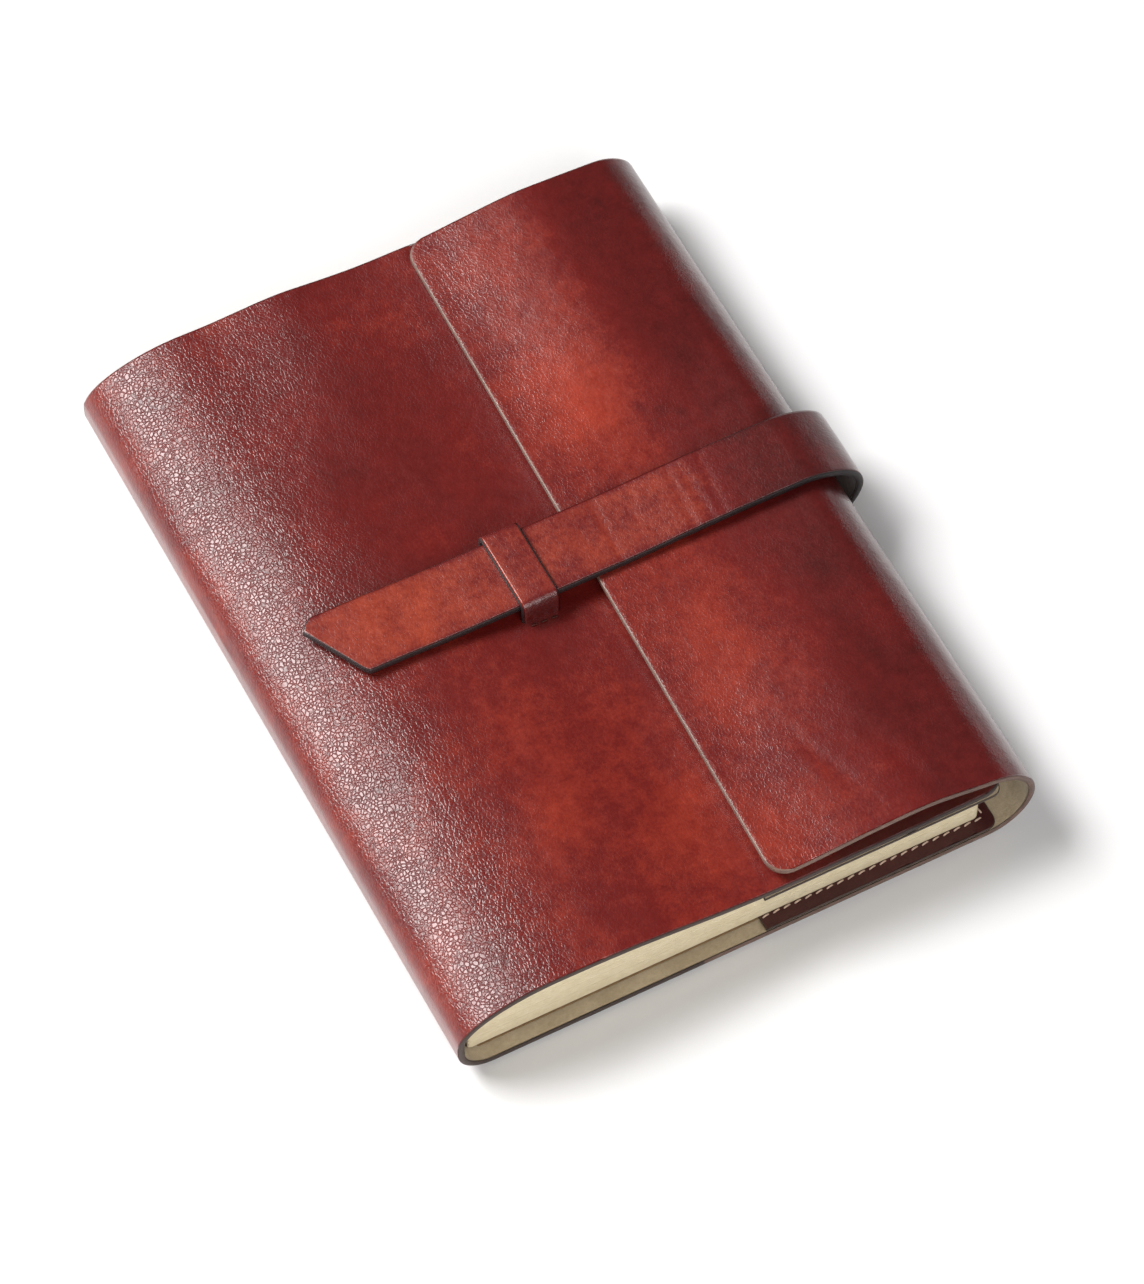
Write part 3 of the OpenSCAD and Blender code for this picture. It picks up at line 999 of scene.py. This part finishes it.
        def drawn_in(length: float, y: float, depth: float, out: tuple[float, float]) -> tuple:
            """Draws the flap's two ends in a little from the cover's."""
            x, across, z = place(length, y, depth, out)
            share = smooth((length - fold_length + 6) / 26)
            return x, across * (1 - share * (half - flap_half) / half), z

        flap.point = drawn_in
        obj = dress(flap.build("flap_and_back"), self.finishes.flap)
        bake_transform(obj)
        report(obj, "flap", "back_cover", slot="hide_leather")


@dataclass
class Strap:
    """The strap, in lengths that meet end to end."""

    sizes: Sizes
    finishes: Finishes
    slit_angle: float = -58.0
    slit_span: float = 13.0
    stand_off: float = 2.8
    arch: float = 1.2
    tip_lift: float = 0.8
    bend_end_angle: float = 74.0

    @property
    def link_c(self) -> float:
        """Where the end piece starts to lift."""
        return self.sizes.keeper_x + self.sizes.keeper_w / 2 + 0.5

    @property
    def link_b(self) -> float:
        """Middle of the part that folds up."""
        return (self.sizes.fold_x + self.link_c) / 2

    def path(self) -> Path:
        """Outer line from the slit, round the fold, to the strap's end."""
        s = self.sizes
        r = s.half + s.strap_lay + s.strap_t
        points = []
        for a in np.linspace(self.slit_angle, 90, 90):
            sunk = 3.2 * (1 - smooth((a - self.slit_angle) / self.slit_span))
            points += arc(s.fold_x, s.half, r - sunk, a, a, 1)
        points += line(s.fold_x, s.strap_tip, s.strap_top, 1.2)
        return Path(points, -1)

    def tone(self, path: Path) -> Callable[[float, float], float]:
        """Painted lightness: orange towards the end, with painted shade round the fold."""

        def tone(length: float, y: float) -> float:
            """Tone at a place on the strap."""
            (x, _), _, _ = path.at(length)
            # Painted shade: darker towards and round the fold, which faces away from the key light.
            value = 0.30 - 1.1 * smooth((x - 122) / 26)
            value += 0.30 * math.exp(-(((x - 38) / 20) ** 2))
            side = abs(y - self.sizes.strap_y) / (self.sizes.strap_w / 2)
            value -= 0.45 * smooth((side - 0.78) / 0.22)
            return value + 0.20 * wave(x / 6, y / 9, 11.0)

        return tone

    def relief(self, path: Path) -> Callable[[float, float], float]:
        """Pressed creases where the strap bends over the flap, and slightly rolled edges."""

        def relief(length: float, y: float) -> float:
            """Raised height in millimetres."""
            (x, z), _, _ = path.at(length)
            half = self.sizes.strap_w / 2
            side = abs(y - self.sizes.strap_y) / half
            turn = math.degrees(math.atan2(z - self.sizes.half, x - self.sizes.fold_x))
            value = -0.16 * side**4
            if x > self.sizes.fold_x:
                value += self.arch * smooth((turn + 50) / 60)
                value += self.stand_off * math.exp(-(((turn - 20) / 32) ** 2))
            else:
                value += self.arch * smooth((x - 98) / 36) + self.tip_lift * smooth((56 - x) / 30)
            for cx, lean in ((122.0, 0.10), (126.5, -0.05), (131.0, 0.12), (100.5, 0.05)):
                value -= 0.16 * math.exp(-(((x - cx - lean * y) / 0.8) ** 2))
            return value

        return relief

    def tip_reach(self, end: float) -> Callable[[float], float]:
        """Reach of the slanted end with its small clipped corner."""
        s = self.sizes
        half, clip, cut = s.strap_w / 2, s.strap_w / 7, 10.0

        def reach(y: float) -> float:
            """Reach at a distance across."""
            v = y - s.strap_y
            slant = cut * (half - clip - v) / (2 * half - clip)
            clipped = max(0.0, v - (half - clip))
            soft = 0.5 * smooth((abs(v) - half + 1.2) / 1.2)
            return end - max(0.0, slant) - clipped - soft

        return reach

    def length_piece(
        self, name: str, start: float, reach: Callable[[float], float], last: bool = False
    ) -> bpy.types.Object:
        """One length of the strap between two places on its line."""
        s = self.sizes
        path = self.path()
        half = s.strap_w / 2
        sheet = Sheet(
            path, s.strap_t, s.strap_y - half, s.strap_y + half, reach,
            relief=self.relief(path), tone=self.tone(path), edge_r=0.45, start=start,
            step=1.0, row_step=1.6, coord_shift=(70.0, 500.0),
            open_start=start > 0, open_end=not last,
        )
        return dress(sheet.build(name), self.finishes.strap)

    def build(self) -> None:
        """Builds the four lengths and the sewn end inside the fold."""
        s = self.sizes
        path = self.path()
        bend = path.length - s.fold_x + s.strap_tip - (
            (s.half + s.strap_lay + s.strap_t) * math.radians(90 - self.bend_end_angle)
        )

        def at_x(x: float) -> float:
            """Length along the strap at a distance from the spine on its level part."""
            return path.length - x + s.strap_tip

        mid_ab, mid_bc = (s.fold_x + self.link_b) / 2, (self.link_b + self.link_c) / 2
        wrap = self.length_piece("strap_round_fold", 0.0, lambda y: bend)
        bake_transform(wrap)
        report(wrap, "strap_bend", slot="strap_leather")
        first = self.length_piece("strap_over_flap", bend, lambda y: at_x(mid_ab))
        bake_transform(first)
        report(first, "strap_link_lower", slot="strap_leather")
        second = self.length_piece("strap_middle", at_x(mid_ab), lambda y: at_x(mid_bc))
        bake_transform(second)
        report(second, "strap_link_upper", slot="strap_leather")
        last = self.length_piece("strap_end", at_x(mid_bc), self.tip_reach(path.length), last=True)
        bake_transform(last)
        report(last, "strap_tip", slot="strap_leather")
        self.build_anchor()

    def build_anchor(self) -> None:
        """The strap's thinned end, sewn against the fold's inside."""
        s = self.sizes
        r = s.anchor_r
        half = s.strap_w / 2
        path = Path(arc(s.fold_x, s.half, r, -5, -56, 24), -1)
        sheet = Sheet(
            path, s.anchor_t, s.strap_y - half, s.strap_y + half, lambda y: path.length,
            edge_r=0.3, step=0.9, row_step=2.0, round_start=True,
        )
        obj = dress(sheet.build("strap_sewn_end"), self.finishes.strap)
        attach(obj, "back")
        report(obj, "strap_anchor", slot="strap_leather")


@dataclass
class Keeper:
    """The narrow loop that holds the strap down, with its feet under the front."""

    sizes: Sizes
    finishes: Finishes
    lift: float = 0.3
    side_room: float = KEEPER_ROOM
    foot_z: float = 19.9
    foot_length: float = 5.5
    bend_r: float = 2.5

    def build(self) -> None:
        """Sweeps the loop from one foot over the strap to the other foot."""
        s = self.sizes
        out = s.strap_w / 2 + self.side_room + s.keeper_t
        top = s.strap_top + self.lift + s.keeper_t
        r = self.bend_r
        y0, y1 = s.strap_y - out, s.strap_y + out
        points = [(y0, z) for z in np.linspace(self.foot_z, top - r, 12)]
        points += arc(y0 + r, top - r, r, 180, 90, 12)
        points += [(y, top) for y in np.linspace(y0 + r, y1 - r, 16)]
        points += arc(y1 - r, top - r, r, 90, 0, 12)
        points += [(y1, z) for z in np.linspace(top - r, self.foot_z, 12)]
        path = Path(points, 1)
        half = s.keeper_w / 2

        def tone(length: float, x: float) -> float:
            """A painted highlight along the edge nearest the spine, and painted shade down the legs."""
            away = abs(length - path.length / 2) - s.strap_w / 2
            # Base tone plus a painted highlight along the edge nearest the spine.
            pale = 0.20 + 0.5 * smooth((s.keeper_x - half + 2.2 - x) / 2.0)
            # Painted shade: darker down the legs beside the strap.
            return pale - 0.7 * smooth((away + 1) / 3)

        loop = Sheet(
            path, s.keeper_t, s.keeper_x - half, s.keeper_x + half, lambda y: path.length,
            plane=Plane.END, tone=tone, edge_r=0.4, round_start=True, step=0.8, row_step=1.2,
            coord_shift=(900.0, 40.0),
            relief=lambda length, x: -0.10 * (abs(x - s.keeper_x) / half) ** 3,
        ).build("keeper_loop")
        dress(loop, self.finishes.strap)
        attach(loop, "front")
        report(loop, "keeper", slot="keeper_leather")


@dataclass
class Pockets:
    """The two thin leaves sewn inside the cover."""

    sizes: Sizes
    finishes: Finishes
    corner: float = 3.0

    def leaf(self, name: str, x0: float, x1: float, z: float, up: bool) -> bpy.types.Object:
        """One leaf, grain side towards the pages."""
        s = self.sizes
        half = s.height / 2 - 0.15
        path = Path(line(x0, x1, z), 1 if up else -1)
        sheet = Sheet(
            path, s.pocket, -half, half, corner_reach(path.length, self.corner, -half, half),
            edge_r=0.3, round_start=True, step=3.0, row_step=6.0, coord_shift=(200.0, 900.0),
        )
        return dress(sheet.build(name), self.finishes.pocket)

    def build(self) -> None:
        """Builds both leaves."""
        s = self.sizes
        back = self.leaf("back_pocket_leaf", s.back_pocket_x, 156.1, s.block_z - LAY_GAP, True)
        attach(back, "back")
        report(back, "back_pocket", slot="pocket_leather")
        front_z = s.block_z + s.block + LAY_GAP
        front = self.leaf("front_pocket_leaf", s.front_pocket_x, s.front_end - 1.5, front_z, False)
        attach(front, "front")
        report(front, "front_pocket", slot="pocket_leather")


def stitch_points(
    centre: Sequence[float], along: Sequence[float], up: Sequence[float], length: float, d: float
) -> tuple[list, list]:
    """One stitch as a short rounded thread that dips into the leather at both ends.

    Args:
        centre: Middle of the stitch on the leather's face.
        along: Unit direction of the stitch.
        up: Unit direction away from the leather.
        length: Visible length.
        d: Thread thickness.

    Returns:
        Vertices and faces.
    """
    c, a, u = np.array(centre, float), np.array(along, float), np.array(up, float)
    w = np.cross(a, u)
    verts, faces, sides = [], [], 8
    shares = (-0.5, -0.44, -0.3, -0.1, 0.1, 0.3, 0.44, 0.5)
    for k, t in enumerate(shares):
        rise = d * 0.52 * (1 - (2 * abs(t)) ** 4)
        radius = d / 2 * (0.35 if abs(t) == 0.5 else 0.8 if abs(t) == 0.44 else 1.0)
        twist = 0.5 * t
        for q in range(sides):
            angle = 2 * math.pi * q / sides + twist
            offset = w * math.cos(angle) * radius + u * math.sin(angle) * radius * 0.85
            verts.append(tuple(c + a * t * length + u * (rise - d * 0.05) + offset))
        if k:
            for q in range(sides):
                p = (k - 1) * sides
                faces.append((p + q, p + (q + 1) % sides, p + sides + (q + 1) % sides, p + sides + q))
    faces.append(tuple(range(sides)))
    faces.append(tuple(range(len(verts) - sides, len(verts)))[::-1])
    return verts, faces


def join(verts: list, faces: list, stitch: tuple[list, list]) -> None:
    """Adds one stitch to a mesh being made.

    Args:
        verts: The mesh's points so far.
        faces: The mesh's faces so far.
        stitch: Points and faces of the stitch.
    """
    base = len(verts)
    verts += stitch[0]
    faces += [tuple(base + q for q in face) for face in stitch[1]]


@dataclass
class Row:
    """A straight row of stitches."""

    start: tuple[float, float, float]
    end: tuple[float, float, float]
    up: tuple[float, float, float]
    slant: float = 10.0


@dataclass
class Stitching:
    """All the visible thread."""

    sizes: Sizes
    finishes: Finishes

    def sew(self, name: str, rows: Sequence[Row]) -> bpy.types.Object:
        """Makes one object of several rows."""
        s = self.sizes
        verts: list = []
        faces: list = []
        for r in rows:
            a, b, up = np.array(r.start), np.array(r.end), np.array(r.up, float)
            length = float(np.linalg.norm(b - a))
            way = (b - a) / length
            side = np.cross(up, way)
            count = max(1, int(length / s.stitch_pitch))
            lean = math.radians(r.slant)
            along = way * math.cos(lean) + side * math.sin(lean)
            for i in range(count):
                shift = 0.06 * wave(i * 0.7, r.slant)
                centre = a + (b - a) * (i + 0.5) / count + way * shift
                join(verts, faces, stitch_points(centre, along, up, s.stitch_len, s.thread))
        return dress(make_object(name, verts, faces), [self.finishes.thread])

    def build(self) -> None:
        """Sews the pockets and the strap's end."""
        s = self.sizes
        y = s.height / 2 - s.row_in
        x1 = s.fold_x + 0.7
        z = s.block_z - LAY_GAP
        rows = [
            Row((s.back_pocket_x + 0.2, -y, z), (x1, -y, z), (0, 0, 1)),
            Row((x1, -y + 0.8, z), (x1, y - 0.8, z), (0, 0, 1)),
            Row((x1, y, z), (s.back_pocket_x + 0.2, y, z), (0, 0, 1)),
            Row((s.back_pocket_x + 1, -y, 0.33), (x1 - 1, -y, 0.33), (0, 0, -1), 0.0),
            Row((s.back_pocket_x + 1, y, 0.33), (x1 - 1, y, 0.33), (0, 0, -1), 0.0),
        ]
        obj = self.sew("back_pocket_thread", rows)
        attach(obj, "back")
        report(obj, "back_pocket_stitching", slot="thread")
        z = s.block_z + s.block + LAY_GAP
        rows = [
            Row((s.front_pocket_x + 0.2, -y, z), (x1, -y, z), (0, 0, -1)),
            Row((x1, -y + 0.8, z), (x1, y - 0.8, z), (0, 0, -1)),
            Row((x1, y, z), (s.front_pocket_x + 0.2, y, z), (0, 0, -1)),
        ]
        obj = self.sew("front_pocket_thread", rows)
        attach(obj, "front")
        report(obj, "front_pocket_stitching", slot="thread")
        rows = []
        r = s.anchor_r
        for angle in (-35.0, -15.0):
            c, q = math.cos(math.radians(angle)), math.sin(math.radians(angle))
            x, z = s.fold_x + r * c, s.half + r * q
            rows.append(Row((x, s.strap_y - 9, z), (x, s.strap_y + 9, z), (-c, 0, -q)))
        obj = self.sew("strap_thread", rows)
        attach(obj, "back")
        report(obj, "strap_anchor_stitching", slot="thread")


@dataclass
class Notebook:
    """The A5 notebook: stacked sheets in signatures, card covers, cloth spine and thread."""

    sizes: Sizes
    finishes: Finishes
    signatures: int = 8
    sheets: int = 12
    paper: float = 0.15
    gap: float = 0.03
    corner: float = 2.0
    card_x: float = 7.5
    cloth_t: float = 0.3
    cloth_in: float = 1.3
    tapes: int = 5
    tape_half: float = 6.0
    loose: random.Random = field(default_factory=lambda: random.Random(5))

    def plate(
        self, verts: list, faces: list, x0: float, x1: float, y: float, z: float, t: float
    ) -> None:
        """Adds one flat sheet with two rounded corners to a mesh being made."""
        s = self.sizes
        half, r = s.page_h / 2, self.corner
        outline = [(x0, y - half)]
        outline += [(x, yy + y) for x, yy in arc(x1 - r, -half + r, r, -90, 0, 7)]
        outline += [(x, yy + y) for x, yy in arc(x1 - r, half - r, r, 0, 90, 7)]
        outline.append((x0, y + half))
        n, base = len(outline), len(verts)
        verts += [(x, yy, z) for x, yy in outline] + [(x, yy, z + t) for x, yy in outline]
        faces.append(tuple(base + k for k in range(n))[::-1])
        faces.append(tuple(base + n + k for k in range(n)))
        for k in range(n):
            q = (k + 1) % n
            faces.append((base + k, base + q, base + n + q, base + n + k))

    def build(self) -> None:
        """Builds every piece of the notebook."""
        s = self.sizes
        stack = s.block - 2 * (self.paper + self.gap)
        thick = stack / self.signatures - self.gap
        each = thick / self.sheets
        for k in range(self.signatures):
            z = s.block_z + self.paper + self.gap + k * (thick + self.gap)
            verts: list = []
            faces: list = []
            for q in range(self.sheets):
                mid = (q + 0.5) / self.sheets * 2 - 1
                fold = thick / 2 * (1 - math.sqrt(max(0.0, 1 - mid * mid)))
                dx, dy = self.loose.uniform(-0.12, 0.0), self.loose.uniform(-0.04, 0.04)
                self.plate(
                    verts, faces, s.page_x + fold, s.page_x + s.page_w + dx, s.page_y + dy,
                    z + q * each, each * self.loose.uniform(0.94, 0.98),
                )
            obj = dress(make_object(f"pages_{k + 1}", verts, faces, flat=True), [self.finishes.paper])
            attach(obj, "back")
            report(obj, f"signature_{k + 1}", slot="paper")
        top = s.block_z + s.block
        for name, node, z in (
            ("back_endpaper", "endpaper_back", s.block_z),
            ("front_endpaper", "endpaper_front", top - self.paper),
        ):
            verts, faces = [], []
            self.plate(verts, faces, s.page_x + 1, s.page_x + s.page_w, s.page_y, z, self.paper)
            obj = dress(make_object(name, verts, faces, flat=True), [self.finishes.paper])
            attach(obj, "back")
            report(obj, node, slot="endpaper")
        self.build_covers()

    def card_fall(self, x: float) -> float:
        """How far the front card rises towards the spine, following the front."""
        s = self.sizes
        share = min(1.0, max(0.0, (x - s.dip_start) / (66.0 - s.dip_start)))
        return (s.dip + 0.4) * (1 + math.cos(math.pi * share)) / 2

    def build_covers(self) -> None:
        """Card covers, cloth spine and sewing thread."""
        s = self.sizes
        half = s.page_h / 2
        low, high = s.page_y - half, s.page_y + half
        path = Path(line(self.card_x, s.fold_x + 0.9, s.hide + LAY_GAP + s.card), 1)
        sheet = Sheet(
            path, s.card, low, high, corner_reach(path.length, self.corner, low, high),
            edge_r=0.15, round_start=True, step=4.0, row_step=12.0,
        )
        obj = dress(sheet.build("back_card"), [self.finishes.card] * 3)
        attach(obj, "back")
        report(obj, "notebook_back_card", slot="card")
        base = s.block_z + s.block + LAY_GAP + s.pocket + LAY_GAP + s.card
        points = []
        for x in np.arange(self.card_x, 155.0, 1.5):
            share = max(0.0, 1 - x / s.shoulder_x)
            rounded = s.depth - s.shoulder_z * (1 - math.sqrt(1 - share * share)) - 2.6
            points.append((x, min(base + self.card_fall(x), rounded)))
        path = Path(points, 1)
        sheet = Sheet(
            path, s.card, low, high, corner_reach(path.length, self.corner, low, high),
            edge_r=0.15, round_start=True, step=4.0, row_step=12.0,
        )
        obj = dress(sheet.build("front_card"), [self.finishes.card] * 3)
        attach(obj, "front")
        report(obj, "notebook_front_card", slot="card")
        foot, head = s.block_z + self.cloth_in, s.block_z + s.block - self.cloth_in
        path = Path([(s.page_x - 2 * self.cloth_t, z) for z in np.linspace(foot, head, 12)], 1)
        sheet = Sheet(
            path, self.cloth_t, low, high, lambda y: path.length,
            edge_r=0.1, round_start=True, step=2.0, row_step=12.0,
        )
        obj = dress(sheet.build("cloth_spine"), [self.finishes.cloth] * 3)
        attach(obj, "back")
        report(obj, "spine_tape", slot="book_cloth")
        verts: list = []
        faces: list = []
        for i in range(self.tapes):
            y = s.page_h * ((i + 0.5) / self.tapes - 0.5) + s.page_y
            for side in (-self.tape_half, self.tape_half):
                centre = (s.page_x - 0.38, y + side, s.block_z + s.block / 2)
                join(verts, faces, stitch_points(centre, (0, 0, 1), (-1, 0, 0), s.block - 2, 0.3))
        obj = dress(make_object("sewing_thread", verts, faces), [self.finishes.thread])
        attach(obj, "back")
        report(obj, "binding_thread", slot="thread")


@dataclass
class KeeperThread:
    """Short rows of dark thread beside the keeper's slits."""

    sizes: Sizes
    hide: Hide
    colour: tuple = (0.12, 0.03, 0.02)
    shade: tuple = (0.05, 0.012, 0.01)
    from_slit: float = 1.4
    length: float = 2.0
    thick: float = 0.45
    sunk: float = 0.1

    def build(self) -> None:
        """Sews three stitches on each side of the strap."""
        s = self.sizes
        material = Plain("dark_thread", self.colour, self.shade, 200.0, 0.5, 0.6).build()
        verts: list = []
        faces: list = []
        for side in (-1, 1):
            y = s.strap_y + side * (s.strap_w / 2 + KEEPER_ROOM + s.keeper_t + self.from_slit)
            for i in (-1, 0, 1):
                x = s.keeper_x + i * s.stitch_pitch
                slope = (self.hide.front_z(x + 1) - self.hide.front_z(x - 1)) / 2
                along = np.array([1.0, 0.0, slope])
                along /= np.linalg.norm(along)
                up = (-slope, 0.0, 1.0)
                centre = (x, y, self.hide.front_z(x) - self.sunk)
                join(verts, faces, stitch_points(centre, along, up, self.length, self.thick))
        obj = dress(make_object("keeper_thread", verts, faces), [material])
        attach(obj, "front")
        report(obj, "keeper_stitching", slot="thread")


@dataclass(frozen=True)
class Lamp:
    """A rectangular soft lamp: place and size in metres, power in watts, linear colour."""

    name: str
    place: tuple[float, float, float]
    size: tuple[float, float]
    power: float
    colour: tuple[float, float, float]

    def build(self) -> None:
        """Makes the lamp, aimed at the cover."""
        data = bpy.data.lights.new(self.name, "AREA")
        data.shape = "RECTANGLE"
        data.size, data.size_y = self.size
        data.energy = self.power
        data.color = self.colour
        lamp = bpy.data.objects.new(self.name, data)
        lamp.location = self.place
        lamp.rotation_euler = Vector(self.place).to_track_quat("Z", "Y").to_euler()
        bpy.context.scene.collection.objects.link(lamp)


LAMPS = (
    Lamp("key_left", (-0.96, 1.0, 1.57), (1.26, 1.0), 56.0, (1.0, 0.985, 0.975)),
    Lamp("camera_fill", (-0.19, -1.42, 1.24), (1.6, 1.1), 21.0, (1.0, 0.995, 0.985)),
    Lamp("fore_low", (1.7, 0.5, 0.5), (1.0, 0.4), 1.6, (0.95, 0.97, 1.0)),
)


@dataclass
class Studio:
    """Floor, lamps, world and camera."""

    target: tuple[float, float, float] = (-2.64, -15.22, 12.0)
    azimuth: float = -27.46
    elevation: float = 57.54
    distance: float = 1662.8
    lens: float = 178.9
    sensor: float = 36.0
    far: float = 20.0
    floor_half: float = 6.0
    floor_gap: float = 0.0002
    world_light: float = 0.04

    def camera(self) -> None:
        """Sets the camera at the given angle."""
        data = bpy.data.cameras.new("camera")
        data.lens = self.lens
        data.sensor_width = self.sensor
        data.sensor_fit = "AUTO"
        data.clip_end = self.far
        cam = bpy.data.objects.new("camera", data)
        a, e = math.radians(self.azimuth), math.radians(self.elevation)
        back = Vector((math.sin(a) * math.cos(e), -math.cos(a) * math.cos(e), math.sin(e)))
        centre = Vector(self.target) * MM
        cam.location = centre + back * self.distance * MM
        cam.rotation_euler = back.to_track_quat("Z", "Y").to_euler()
        bpy.context.scene.collection.objects.link(cam)
        bpy.context.scene.camera = cam

    def floor(self) -> None:
        """A wide pale floor."""
        mesh = bpy.data.meshes.new("floor")
        corners = ((-1, -1), (1, -1), (1, 1), (-1, 1))
        verts = [(x * self.floor_half, y * self.floor_half, -self.floor_gap) for x, y in corners]
        mesh.from_pydata(verts, [], [(0, 1, 2, 3)])
        floor = bpy.data.objects.new("floor", mesh)
        n = Nodes("pale_floor")
        n.put(n.shader.inputs["Base Color"], (0.93, 0.93, 0.935, 1.0))
        n.put(n.shader.inputs["Roughness"], 0.95)
        n.put(n.shader.inputs["Specular IOR Level"], 0.0)
        floor.data.materials.append(n.material)
        bpy.context.scene.collection.objects.link(floor)

    def build(self) -> None:
        """Lights and frames the scene."""
        self.floor()
        for lamp in LAMPS:
            lamp.build()
        world = bpy.data.worlds.new("studio")
        world.use_nodes = True
        background = world.node_tree.nodes["Background"]
        background.inputs[0].default_value = (1.0, 1.0, 1.0, 1.0)
        background.inputs[1].default_value = self.world_light
        bpy.context.scene.world = world
        bpy.context.scene.view_settings.view_transform = "Standard"
        self.camera()


def main() -> None:
    """Builds the cover, the notebook and the studio in order."""
    logging.basicConfig(level=logging.INFO, format="%(name)s: %(message)s")
    finishes = Finishes().build()
    hide = Hide(SIZES, finishes)
    hide.build()
    Strap(SIZES, finishes).build()
    Keeper(SIZES, finishes).build()
    Pockets(SIZES, finishes).build()
    Stitching(SIZES, finishes).build()
    KeeperThread(SIZES, hide).build()
    Notebook(SIZES, finishes).build()
    Studio().build()


def write_sizes() -> None:
    """Updates the view layer."""
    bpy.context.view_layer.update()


if __name__ == "__main__":
    main()
    write_sizes()
